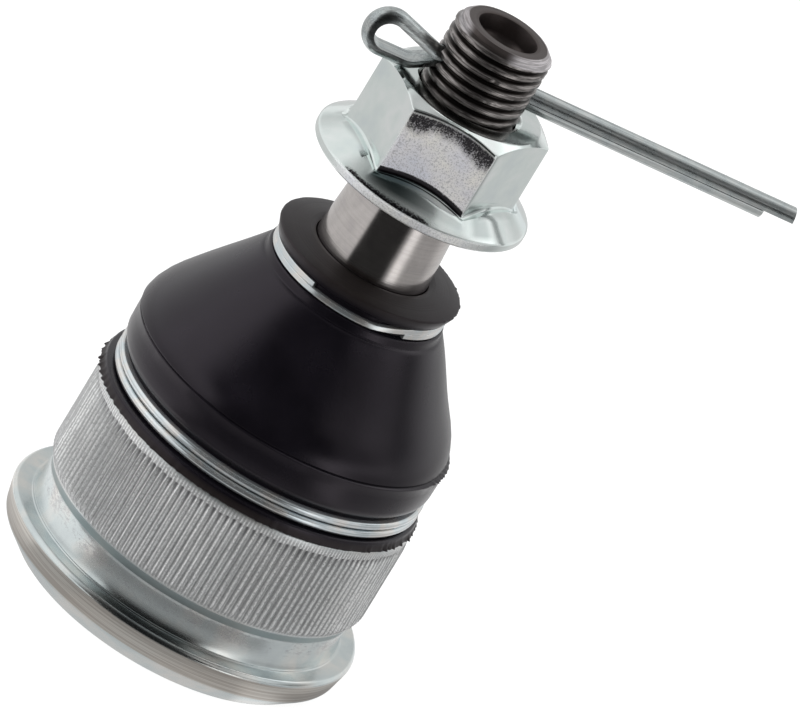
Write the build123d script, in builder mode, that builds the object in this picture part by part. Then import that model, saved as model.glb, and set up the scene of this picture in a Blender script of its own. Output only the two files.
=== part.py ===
from build123d import *
import os
from math import asin, atan2, cos, degrees, pi, radians, sin, sqrt, tan

os.makedirs("parts", exist_ok=True)

# A press-in suspension ball joint, standing on its flange with the stud upright.
# Z is the axis of the housing and, at rest, of the stud. The cotter pin lies along X
# with its eye on the -X side. Lengths are in millimetres and angles in degrees.

# Fits and clearances
bearing_fit = 0.03          # ball in its bearings, bearings in the housing
rubber_fit = 0.1            # boot on the housing, on the stud and under its rings
thread_fit = 0.05           # nut over the thread
pin_fit = 0.1               # cotter pin in its cross hole

# Press body: flange, relieved neck and serrated band
flange_diameter = 50.4
flange_thickness = 6.5
flange_foot_height = 2.8    # height of the large bevel under the flange
flange_foot_width = 3.1
flange_draft = 0.7          # the rim narrows by this towards the bevel
flange_edge = 0.6
neck_diameter = 44.2
neck_height = 4.2
lead_in_height = 1.6        # cone from the neck up to the serrations
press_diameter = 46.2       # over the tips of the serrations
serration_length = 12.65
serration_depth = 0.45
serration_count = 128
land_height = 1.4           # plain shoulder above the serrations
boot_seat_diameter = 39.8
boot_seat_height = 4.0
mouth_wall = 1.5            # least height of the housing's mouth above the bearing

# Cover plate, held by the rolled edge of the housing
rolled_edge = 1.0
rolled_overlap = 1.8
cover_thickness = 2.2
cover_overlap = 1.9         # how far the plate seats outside the bore
cover_pad_radius = 9.0      # centre of the plate, pressed outwards
cover_pad_depth = 0.5

# Ball, bearings and preload spring
ball_diameter = 26.0
ball_flat_radius = 4.0
bearing_wall = 3.2
bearing_skirt = 3.0         # straight height of the upper bearing above the equator
bearing_lip = 1.2           # width of the upper bearing under the housing's mouth
cup_floor = 1.9
cup_hole_radius = 4.5
spring_thickness = 0.8
spring_height = 1.3
spring_rim = 1.4            # flat ring at the foot and at the head of the spring
swing_angle = 25.0
swing_margin = 2.5          # spare angle between the neck and the bearing
mouth_clearance = 1.0

# Ball stud
neck_radius = 6.25
neck_length = 24.5          # ball centre to the top of the plain neck
flare_height = 6.0          # neck up to the foot of the taper
taper_length = 18.9
taper_ratio = 8.0           # length over change of diameter
taper_step = 0.37           # taper's small end stands this far proud of the thread
thread_diameter = 14.0
thread_end_chamfer = 1.1
recess_radius = 4.25
recess_depth = 3.6
pin_hole_from_end = 7.0

# Flange nut
nut_gap = 0.2               # nut above the small end of the taper
nut_height = 13.7
nut_across_flats = 21.2
nut_flange_diameter = 30.6
nut_rim_height = 1.4
nut_cone_angle = 35.0
nut_chamfer_diameter = 20.6
nut_chamfer_angle = 30.0
nut_bore_chamfer = 0.6
nut_turned = -13.7          # direction of one hexagon corner from +X
nut_to_pin = 3.2            # nut's top face to the pin's axis

# Cotter pin
pin_diameter = 3.2
pin_slit = 0.1              # gap between the two half-round legs
pin_long_leg = 45.7         # tip from the stud's axis
pin_short_leg = 41.5
pin_eye_reach = 17.1        # far side of the eye from the stud's axis
pin_eye_rise = 3.0          # top corner of the eye's inside above the pin's axis
pin_eye_drop = 1.65         # straight lower side of the eye's inside below the axis
pin_eye_shoulder = 2.6      # length over which the lower leg leaves the axis
pin_eye_start = 0.2         # the legs part this far from the thread
pin_bend = 1.9              # inside radius where a leg leaves the axis

# Boot
boot_wall = 1.8
boot_foot_radius = 22.95
boot_foot_height = 1.35
boot_ring_seat = 2.9
boot_ring_depth = 1.65      # groove under the lower ring, from the boot's widest wall
boot_widest_radius = 22.6
boot_bend_height = 11.7     # corner between wall and cone, above the housing's shoulder
boot_bend_radius = 10.0
boot_shoulder_radius = 12.9
boot_lip_radius = 13.2
boot_lip_height = 1.8
boot_lip_lift = 6.3         # edge of the lip's top face above the foot of the taper
boot_lip_crown = 0.9        # the lip's top face rises by this towards the taper
collar_seat = 1.8
collar_depth = 1.6          # groove under the upper ring, from the lip's edge
boot_shoulder_edge = 0.5

# Boot rings, wound from wire
lower_wire = 1.3
lower_turns = 2
upper_wire_height = 0.8
upper_wire_width = 0.85
upper_gap_angle = 48.0      # the upper turn stops short of a full circle
upper_gap_direction = -106.0

# Radii and heights that follow from the sizes above
flange_r = flange_diameter / 2
neck_r = neck_diameter / 2
press_r = press_diameter / 2
root_r = press_r - serration_depth
land_r = press_r - serration_depth / 2
boot_seat_r = boot_seat_diameter / 2
ball_r = ball_diameter / 2
thread_r = thread_diameter / 2

lead_in_z = flange_thickness + neck_height
serration_z = lead_in_z + lead_in_height
serration_top_z = serration_z + serration_length
shoulder_z = serration_top_z + land_height

cover_top_z = rolled_edge + cover_thickness
cup_z = cover_top_z + spring_height
ball_z = cup_z + cup_floor + ball_r + bearing_fit
socket_r = ball_r + bearing_fit
bearing_r = ball_r + bearing_wall
bore_r = bearing_r + bearing_fit
cover_r = bore_r + cover_overlap

# The bearing stops where the swung neck would touch it, and the mouth opens like the neck's path
lip_angle = radians(swing_angle + swing_margin) + asin(neck_radius / ball_r)
lip_r = socket_r * sin(lip_angle)
lip_z = ball_z + socket_r * cos(lip_angle)
housing_top_z = max(shoulder_z + boot_seat_height, lip_z + mouth_wall)


def mouth_radius(z):
    return neck_radius / cos(radians(swing_angle)) + (z - ball_z) * tan(radians(swing_angle)) + mouth_clearance


bearing_top_r = mouth_radius(lip_z) + bearing_lip
bearing_shoulder_z = ball_z + bearing_skirt

neck_foot_z = ball_z + sqrt(ball_r**2 - neck_radius**2)
neck_top_z = ball_z + neck_length
taper_z = neck_top_z + flare_height
taper_top_z = taper_z + taper_length
taper_small_r = thread_r + taper_step
taper_big_r = taper_small_r + taper_length / taper_ratio / 2


def taper_radius(z):
    return taper_small_r + (taper_top_z - z) / taper_ratio / 2


nut_z = taper_top_z + nut_gap
nut_top_z = nut_z + nut_height
pin_z = nut_top_z + nut_to_pin
stud_top_z = pin_z + pin_hole_from_end

boot_foot_z = shoulder_z + rubber_fit
lower_groove_z = boot_foot_z + boot_foot_height
lower_groove_top_z = lower_groove_z + boot_ring_seat
lower_groove_r = boot_widest_radius - boot_ring_depth
boot_bend_z = shoulder_z + boot_bend_height
lip_top_z = taper_z + boot_lip_lift
lip_crown_z = lip_top_z + boot_lip_crown
collar_top_z = lip_top_z - boot_lip_height
collar_z = collar_top_z - collar_seat
collar_r = boot_lip_radius - collar_depth
cone_top_z = collar_z - boot_shoulder_edge


# Housing, turned from one piece of steel
with BuildPart() as housing:
    core_r = root_r - serration_depth
    with BuildSketch(Plane.XZ):
        with BuildLine():
            Polyline(
                (cover_r - rolled_overlap, 0),
                (flange_r - flange_draft - flange_foot_width, 0),
                (flange_r - flange_draft, flange_foot_height),
                (flange_r, flange_thickness - flange_edge),
                (flange_r - flange_edge, flange_thickness),
                (neck_r, flange_thickness),
                (neck_r, lead_in_z),
                (root_r, serration_z),
                (core_r, serration_z),
                (core_r, serration_top_z),
                (land_r, serration_top_z),
                (land_r, shoulder_z),
                (boot_seat_r, shoulder_z),
                (boot_seat_r, housing_top_z),
                (mouth_radius(housing_top_z), housing_top_z),
                (mouth_radius(lip_z), lip_z),
                (bearing_top_r + bearing_fit, lip_z),
                (bore_r, bearing_shoulder_z),
                (bore_r, cover_top_z),
                (cover_r + bearing_fit, cover_top_z),
                (cover_r + bearing_fit, rolled_edge),
                (cover_r - rolled_overlap, rolled_edge),
                close=True,
            )
        make_face()
    revolve(axis=Axis.Z)
    # Straight serrations round the press band
    with BuildSketch(Plane.XY.offset(serration_z)):
        with BuildLine():
            half_pitch = 180 / serration_count
            Polyline(
                *[
                    Vector(press_r if step % 2 else root_r, 0).rotate(Axis.Z, step * half_pitch)
                    for step in range(2 * serration_count)
                ],
                close=True,
            )
        make_face()
        Circle(core_r - serration_depth, mode=Mode.SUBTRACT)
    extrude(amount=serration_length)
housing.part.label = "housing"

# Cover plate: a pressed disc with its centre pushed outwards
with BuildPart() as cover_plate:
    with BuildSketch(Plane.XY.offset(rolled_edge)):
        Circle(cover_r)
    extrude(amount=cover_thickness)
    with BuildSketch(Plane.XY.offset(rolled_edge)):
        Circle(cover_pad_radius)
    extrude(amount=-cover_pad_depth)
    with BuildSketch(Plane.XY.offset(cover_top_z)):
        Circle(cover_pad_radius - cover_pad_depth)
    extrude(amount=-cover_pad_depth, mode=Mode.SUBTRACT)
    fillet(cover_plate.edges().group_by(Axis.Z)[0], radius=cover_pad_depth / 2)
cover_plate.part.label = "cover_plate"

# Preload spring: a coned disc with a flat rim at its foot and at its head
with BuildPart() as preload_spring:
    spring_foot_r = bearing_r - spring_rim
    spring_head_r = cup_hole_radius + spring_rim
    with BuildSketch(Plane.XZ):
        with BuildLine():
            Polyline(
                (spring_foot_r, cover_top_z),
                (spring_foot_r, cover_top_z + spring_thickness),
                (spring_foot_r - spring_rim, cover_top_z + spring_thickness),
                (spring_head_r + spring_rim, cup_z),
                (spring_head_r, cup_z),
                (spring_head_r, cup_z - spring_thickness),
                (spring_head_r + spring_rim, cup_z - spring_thickness),
                (spring_foot_r - spring_rim, cover_top_z),
                close=True,
            )
        make_face()
    revolve(axis=Axis.Z)
preload_spring.part.label = "preload_spring"

# Lower bearing: the cup under the ball
with BuildPart() as lower_bearing:
    with BuildSketch(Plane.XY.offset(cup_z)):
        Circle(bearing_r)
        Circle(cup_hole_radius, mode=Mode.SUBTRACT)
    extrude(amount=ball_z - bearing_fit - cup_z)
    with Locations((0, 0, ball_z)):
        Sphere(socket_r, mode=Mode.SUBTRACT)
lower_bearing.part.label = "lower_bearing"

# Upper bearing: the ring that the ball is pulled against
with BuildPart() as upper_bearing:
    middle = lip_angle + (pi / 2 - lip_angle) / 2
    with BuildSketch(Plane.XZ):
        with BuildLine():
            ThreePointArc(
                (socket_r, ball_z),
                (socket_r * sin(middle), ball_z + socket_r * cos(middle)),
                (lip_r, lip_z),
            )
            Polyline(
                (lip_r, lip_z),
                (bearing_top_r, lip_z),
                (bearing_r, bearing_shoulder_z),
                (bearing_r, ball_z),
                (socket_r, ball_z),
            )
        make_face()
    revolve(axis=Axis.Z)
upper_bearing.part.label = "upper_bearing"

# Ball stud: ball, neck, 1:8 taper and thread, with a recessed end and a cross hole
with BuildPart() as ball_stud:
    with BuildSketch(Plane.XZ):
        with BuildLine():
            ThreePointArc(
                (ball_flat_radius, ball_z - sqrt(ball_r**2 - ball_flat_radius**2)),
                (ball_r, ball_z),
                (neck_radius, neck_foot_z),
            )
            Polyline(
                (neck_radius, neck_foot_z),
                (neck_radius, neck_top_z),
                (taper_big_r, taper_z),
                (taper_small_r, taper_top_z),
                (thread_r, taper_top_z),
                (thread_r, stud_top_z - thread_end_chamfer),
                (thread_r - thread_end_chamfer, stud_top_z),
                (recess_radius, stud_top_z),
                (recess_radius, stud_top_z - recess_depth + recess_radius / 4),
                (recess_radius * 3 / 4, stud_top_z - recess_depth),
                (0, stud_top_z - recess_depth),
                (0, ball_z - sqrt(ball_r**2 - ball_flat_radius**2)),
                (ball_flat_radius, ball_z - sqrt(ball_r**2 - ball_flat_radius**2)),
            )
        make_face()
    revolve(axis=Axis.Z)
    with BuildSketch(Plane.YZ):
        with Locations((0, pin_z)):
            Circle(pin_diameter / 2 + pin_fit)
    extrude(amount=thread_diameter, both=True, mode=Mode.SUBTRACT)
ball_stud.part.label = "ball_stud"

# Boot: a hollow rubber cone, its foot on the housing and its lip on the taper
with BuildPart() as boot:
    cone_angle = atan2(boot_widest_radius - boot_shoulder_radius, cone_top_z - boot_bend_z)
    inner_wall_r = boot_widest_radius - boot_wall
    inner_bend_z = boot_bend_z - boot_wall * tan(cone_angle / 2)
    roof_z = cone_top_z - boot_wall
    roof_r = inner_wall_r - (roof_z - inner_bend_z) * tan(cone_angle)
    foot_r = boot_seat_r + rubber_fit
    with BuildSketch(Plane.XZ):
        with BuildLine():
            Polyline(
                (foot_r, lower_groove_top_z),
                (foot_r, boot_foot_z),
                (boot_foot_radius, boot_foot_z),
                (boot_foot_radius, lower_groove_z),
                (lower_groove_r, lower_groove_z),
                (lower_groove_r, lower_groove_top_z),
                (boot_widest_radius, lower_groove_top_z + boot_ring_depth),
            )
            FilletPolyline(
                (boot_widest_radius, lower_groove_top_z + boot_ring_depth),
                (boot_widest_radius, boot_bend_z),
                (boot_shoulder_radius, cone_top_z),
                radius=boot_bend_radius,
            )
            Polyline(
                (boot_shoulder_radius, cone_top_z),
                (boot_shoulder_radius, collar_z),
                (collar_r, collar_z),
                (collar_r, collar_top_z),
                (boot_lip_radius - boot_lip_height / 2, collar_top_z),
                (boot_lip_radius, lip_top_z),
                (taper_radius(lip_crown_z) + rubber_fit, lip_crown_z),
                (taper_radius(roof_z) + rubber_fit, roof_z),
                (roof_r, roof_z),
            )
            FilletPolyline(
                (roof_r, roof_z),
                (inner_wall_r, inner_bend_z),
                (inner_wall_r, lower_groove_top_z + boot_wall),
                radius=boot_bend_radius - boot_wall,
            )
            Line((inner_wall_r, lower_groove_top_z + boot_wall), (foot_r, lower_groove_top_z))
        make_face()
    revolve(axis=Axis.Z)
boot.part.label = "boot"

# Lower boot ring: turns of round wire side by side
with BuildPart() as lower_boot_ring:
    lower_ring_r = lower_groove_r + rubber_fit
    first_turn_z = (lower_groove_z + lower_groove_top_z - lower_turns * lower_wire) / 2
    turn_edge = lower_wire / 4
    with BuildSketch(Plane.XZ):
        for turn in range(lower_turns):
            turn_z = first_turn_z + turn * lower_wire
            with BuildLine():
                Polyline(
                    (lower_ring_r, turn_z),
                    (lower_ring_r + lower_wire - turn_edge, turn_z),
                    (lower_ring_r + lower_wire, turn_z + turn_edge),
                    (lower_ring_r + lower_wire, turn_z + lower_wire - turn_edge),
                    (lower_ring_r + lower_wire - turn_edge, turn_z + lower_wire),
                    (lower_ring_r, turn_z + lower_wire),
                    close=True,
                )
            make_face()
    revolve(axis=Axis.Z)
lower_boot_ring.part.label = "lower_boot_ring"

# Upper boot ring: one full turn of flat wire with a second, shorter turn on it
with BuildPart() as upper_boot_ring:
    upper_ring_r = collar_r + rubber_fit / 2
    upper_ring_z = collar_z + collar_seat / 2 - upper_wire_height
    with BuildSketch(Plane.XY.offset(upper_ring_z)) as full_turn:
        Circle(upper_ring_r + upper_wire_width)
        Circle(upper_ring_r, mode=Mode.SUBTRACT)
    extrude(amount=upper_wire_height)
    turn_start = Plane.XZ.rotated((0, 0, upper_gap_direction + upper_gap_angle / 2))
    with BuildSketch(turn_start) as short_turn:
        with Locations((upper_ring_r, upper_ring_z + upper_wire_height)):
            Rectangle(upper_wire_width, upper_wire_height, align=Align.MIN)
    revolve(axis=Axis.Z, revolution_arc=360 - upper_gap_angle)
upper_boot_ring.part.label = "upper_boot_ring"

# Stud nut: a hexagon on its own coned flange
with BuildPart() as stud_nut:
    nut_flange_r = nut_flange_diameter / 2
    nut_corner_r = nut_across_flats / 2 / cos(radians(30))
    nut_chamfer_r = nut_chamfer_diameter / 2
    chamfer_drop = (nut_corner_r - nut_chamfer_r) * tan(radians(nut_chamfer_angle))
    cone_rise = (nut_flange_r - nut_chamfer_r) * tan(radians(nut_cone_angle))
    with BuildSketch(Plane.XY.offset(nut_z)):
        RegularPolygon(nut_across_flats / 2, 6, major_radius=False, rotation=nut_turned)
    extrude(amount=nut_height)
    with BuildSketch(Plane.XZ):
        with BuildLine():
            Polyline(
                (0, nut_z),
                (nut_corner_r, nut_z),
                (nut_corner_r, nut_top_z - chamfer_drop),
                (nut_chamfer_r, nut_top_z),
                (0, nut_top_z),
                close=True,
            )
        make_face()
    revolve(axis=Axis.Z, mode=Mode.INTERSECT)
    with BuildSketch(Plane.XZ):
        with BuildLine():
            Polyline(
                (0, nut_z),
                (nut_flange_r, nut_z),
                (nut_flange_r, nut_z + nut_rim_height),
                (nut_chamfer_r, nut_z + nut_rim_height + cone_rise),
                (0, nut_z + nut_rim_height + cone_rise),
                close=True,
            )
        make_face()
    revolve(axis=Axis.Z)
    with Locations((0, 0, nut_z + nut_height / 2)):
        Hole(thread_r + thread_fit, depth=nut_height / 2)
    bore_edges = stud_nut.edges().filter_by(GeomType.CIRCLE).filter_by(
        lambda edge: edge.radius < thread_r + 2 * thread_fit
    )
    chamfer(bore_edges, length=nut_bore_chamfer)
stud_nut.part.label = "stud_nut"

# Cotter pin: half-round wire, doubled into two legs with an eye like a drop
with BuildPart() as cotter_pin:
    wire_r = (pin_diameter - pin_slit) / 2
    leg_height = pin_slit / 2
    spread_x = -(thread_r + pin_eye_start)
    eye_x = spread_x - pin_eye_shoulder
    eye_end_x = wire_r - pin_eye_reach
    # The largest round that the two far corners share: a right turn below, a sharper one above
    upper_turn = pi / 2 + atan2(pin_eye_rise - leg_height, spread_x - eye_end_x)
    eye_round = 0.98 * (pin_eye_rise + pin_eye_drop) / (1 + tan(upper_turn / 2))
    with BuildLine(Plane.XZ) as wire:
        FilletPolyline(
            (pin_long_leg, pin_z + leg_height),
            (spread_x, pin_z + leg_height),
            (eye_end_x, pin_z + pin_eye_rise),
            (eye_end_x, pin_z - pin_eye_drop),
            (eye_x, pin_z - pin_eye_drop),
            (spread_x, pin_z - leg_height),
            (pin_short_leg, pin_z - leg_height),
            radius=[pin_bend, eye_round, eye_round, pin_bend, pin_bend],
        )
    with BuildSketch(Plane(origin=wire.line @ 0, x_dir=(0, 1, 0), z_dir=wire.line % 0)):
        with BuildLine():
            Line((-wire_r, 0), (wire_r, 0))
            ThreePointArc((wire_r, 0), (0, -wire_r), (-wire_r, 0))
        make_face()
    sweep(path=wire.line)
cotter_pin.part.label = "cotter_pin"

pieces = (
    housing,
    cover_plate,
    preload_spring,
    lower_bearing,
    upper_bearing,
    ball_stud,
    boot,
    lower_boot_ring,
    upper_boot_ring,
    stud_nut,
    cotter_pin,
)
for piece in pieces:
    export_step(piece.part, f"parts/{piece.part.label}.step")
print("ball centre z", round(ball_z, 3), "stud top z", round(stud_top_z, 3), "nut z", round(nut_z, 3))
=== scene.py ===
import math

import bmesh
import bpy
from mathutils import Matrix, Vector, noise


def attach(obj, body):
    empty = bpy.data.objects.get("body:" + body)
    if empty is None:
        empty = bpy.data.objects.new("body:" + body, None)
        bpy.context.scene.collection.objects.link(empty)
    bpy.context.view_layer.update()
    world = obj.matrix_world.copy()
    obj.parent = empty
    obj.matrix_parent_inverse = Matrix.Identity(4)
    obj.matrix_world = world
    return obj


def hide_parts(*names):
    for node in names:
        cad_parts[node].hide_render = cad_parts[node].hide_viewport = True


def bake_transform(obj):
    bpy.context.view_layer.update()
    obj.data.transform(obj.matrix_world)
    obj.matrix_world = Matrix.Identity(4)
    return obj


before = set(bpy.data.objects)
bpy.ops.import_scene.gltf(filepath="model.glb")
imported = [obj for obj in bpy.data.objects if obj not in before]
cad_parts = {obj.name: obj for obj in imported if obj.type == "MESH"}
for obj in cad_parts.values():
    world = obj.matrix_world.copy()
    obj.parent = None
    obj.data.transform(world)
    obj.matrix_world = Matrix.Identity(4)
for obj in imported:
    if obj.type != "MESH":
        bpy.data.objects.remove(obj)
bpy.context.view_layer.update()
mm = 0.001
print("frame loaded:", ", ".join(sorted(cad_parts)))

viewAzimuth = -18.6  # degrees that the camera has gone round from straight in front
frontAzimuth = viewAzimuth - 90  # direction from the joint's axis towards the camera


# Small helpers for angles, wobble and meshes

def clamp(value, low=0.0, high=1.0):
    return max(low, min(high, value))


def smooth(low, high, value):
    t = clamp((value - low) / (high - low))
    return t * t * (3 - 2 * t)


def wobble(x, y=0.0, z=0.0):
    return noise.noise(Vector((x, y, z)))  # -1 to 1, the same at each run


def polar(vert):
    return math.hypot(vert.co.x, vert.co.y) / mm, math.atan2(vert.co.y, vert.co.x), vert.co.z / mm


def place(vert, radius, angle, height):
    vert.co = Vector((radius * math.cos(angle), radius * math.sin(angle), height)) * mm


def offFront(angle):
    # degrees round the axis from the side that faces the camera, -180 to 180
    return (math.degrees(angle) - frontAzimuth + 180) % 360 - 180


def wireProfile(bm, corners, spacing=None, closed=True):
    # corners are (radius, height, bevel) in mm, joined by edges in the XZ plane
    verts = [bm.verts.new((radius * mm, 0, height * mm)) for radius, height, _ in corners]
    for first, second in zip(verts, verts[1:] + verts[:1] if closed else verts[1:]):
        bm.edges.new((first, second))
    for vert, corner in zip(verts, corners):
        if corner[2]:
            bmesh.ops.bevel(bm, geom=[vert], offset=corner[2] * mm, segments=3, profile=0.5,
                            affect="VERTICES", material=-1)
    for edge in list(bm.edges) if spacing else ():
        middle = (edge.verts[0].co + edge.verts[1].co) / 2 / mm
        cuts = int(edge.calc_length() / mm / spacing(middle.x, middle.z))
        if cuts:
            bmesh.ops.subdivide_edges(bm, edges=[edge], cuts=cuts)


def turn(bm, steps, doublings=4):
    # one sector is spun, and copies of it close the circle, which is far quicker than one long spin
    sectors = 2 ** doublings
    bmesh.ops.spin(bm, geom=bm.verts[:] + bm.edges[:], cent=(0, 0, 0), axis=(0, 0, 1),
                   angle=2 * math.pi / sectors, steps=steps // sectors)
    for doubling in range(doublings):
        copied = bmesh.ops.duplicate(bm, geom=bm.verts[:] + bm.edges[:] + bm.faces[:])["geom"]
        bmesh.ops.rotate(bm, verts=[g for g in copied if isinstance(g, bmesh.types.BMVert)], cent=(0, 0, 0),
                         matrix=Matrix.Rotation(2 * math.pi / sectors * 2 ** doubling, 3, "Z"))
    bmesh.ops.remove_doubles(bm, verts=bm.verts[:], dist=0.002 * mm)


def wind(bm, runs, stepsPerTurn):
    # a profile's edges go round the axis in runs of (degrees, rise in mm), each from the end of the last
    geometry = bm.verts[:] + bm.edges[:]
    for degrees, rise in runs:
        steps = math.ceil(stepsPerTurn * degrees / 360)
        spun = bmesh.ops.spin(bm, geom=geometry, cent=(0, 0, 0), axis=(0, 0, 1), steps=steps,
                              angle=math.radians(degrees), dvec=(0, 0, rise * mm / steps))
        geometry = spun["geom_last"]
    bmesh.ops.remove_doubles(bm, verts=bm.verts[:], dist=0.001 * mm)


def newPiece(bm, name, material, body, nodes=(), sharp=38.0):
    bmesh.ops.recalc_face_normals(bm, faces=bm.faces[:])
    for face in bm.faces:
        face.smooth = True
    for edge in bm.edges:
        if len(edge.link_faces) == 2 and edge.calc_face_angle() > math.radians(sharp):
            edge.smooth = False
    mesh = bpy.data.meshes.new(name)
    bm.to_mesh(mesh)
    bm.free()
    piece = bpy.data.objects.new(name, mesh)
    bpy.context.collection.objects.link(piece)
    mesh.materials.append(material)
    if body:
        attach(piece, body)
    if nodes:
        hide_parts(*nodes)
    print("made", name, len(mesh.polygons), "faces")
    return piece


# Shader maths: a Shade is one socket of a node tree, and arithmetic on it adds Math nodes

class Shade:
    def __init__(self, tree, socket=None):
        self.tree, self.socket = tree, socket

    def node(self, kind, settings=(), inputs=(), out=0):
        made = self.tree.nodes.new("ShaderNode" + kind)
        for name, value in dict(settings).items():
            if name == "stops":
                ramp = made.color_ramp.elements
                while len(ramp) < len(value):
                    ramp.new(1.0)
                for element, (position, colour) in zip(ramp, value):
                    element.position, element.color = position, (*colour, 1)
            else:
                setattr(made, name, value)
        for name, value in dict(inputs).items():
            wire(self.tree, made.inputs[name], value)
        return Shade(self.tree, made.outputs[out])

    def maths(self, operation, *others):
        return self.node("Math", {"operation": operation}, dict(enumerate((self, *others))))

    def __add__(self, other):
        return self.maths("ADD", other)

    def __sub__(self, other):
        return self.maths("SUBTRACT", other)

    def __rsub__(self, other):
        return self.node("Math", {"operation": "SUBTRACT"}, {0: other, 1: self})

    def __mul__(self, other):
        return self.maths("MULTIPLY", other)

    def __pow__(self, other):
        return self.maths("POWER", other)

    __radd__ = __add__
    __rmul__ = __mul__


def wire(tree, socket, value):
    if isinstance(value, Shade):
        tree.links.new(value.socket, socket)
    elif isinstance(value, (tuple, list)) and socket.type == "RGBA" and len(value) == 3:
        socket.default_value = (*value, 1)
    else:
        socket.default_value = value


def parts(vector):
    split = vector.node("SeparateXYZ", (), {0: vector})
    node = split.socket.node
    return [Shade(vector.tree, node.outputs[axis]) for axis in range(3)]


def joined(x, y, z):
    return next(s for s in (x, y, z) if isinstance(s, Shade)).node("CombineXYZ", (), {0: x, 1: y, 2: z})


def between(value, low, high, start=0.0, end=1.0):
    # start below low, end above high, and smooth in between
    return value.node("MapRange", {"interpolation_type": "SMOOTHSTEP"},
                      {0: value, 1: low, 2: high, 3: start, 4: end})


def betweenMm(length, low, high, start=0.0, end=1.0):
    # the same for a length, with its limits in mm
    return between(length, low * mm, high * mm, start, end)


def fromAxis(x, y):
    return (x * x + y * y) ** 0.5


def cloud(vector, scale, detail=3.0, roughness=0.55):
    return vector.node("TexNoise", (), {"Vector": vector, "Scale": scale, "Detail": detail,
                                        "Roughness": roughness})


def blendColour(factor, first, second):
    return factor.node("Mix", {"data_type": "RGBA"}, {0: factor, 6: first, 7: second}, out=2)


def bumped(height, strength, distance):
    return height.node("Bump", (), {"Height": height, "Strength": strength, "Distance": distance})


def newMaterial(name, **constants):
    material = bpy.data.materials.new(name)
    material.use_nodes = True
    tree = material.node_tree
    shader = tree.nodes["Principled BSDF"]
    for socket, value in constants.items():
        wire(tree, shader.inputs[socket.replace("_", " ")], value)
    return material, shader, Shade(tree).node("TexCoord", out="Object")


def dress(shader, **sockets):
    for socket, value in sockets.items():
        wire(shader.id_data, shader.inputs[socket.replace("_", " ")], value)


def turnedLines(at, along, across, detail=2.0):
    # noise stretched round the axis, as a lathe tool leaves it
    x, y, z = parts(at)
    return cloud(joined(x * along, y * along, (z + fromAxis(x, y) * 0.8) * across), 1.0, detail)


# Finishes

def tinted(patch, cool, warm, deep):
    # zinc plate shifts between a cool and a warm cast from place to place
    stops = [(0.32, deep), (0.45, cool), (0.62, warm), (0.75, cool)]
    return patch.node("ValToRGB", {"stops": stops}, {0: patch})


def twoTone(patch, first, second, low=0.3, high=0.7):
    return patch.node("ValToRGB", {"stops": [(low, first), (high, second)]}, {0: patch})


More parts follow.
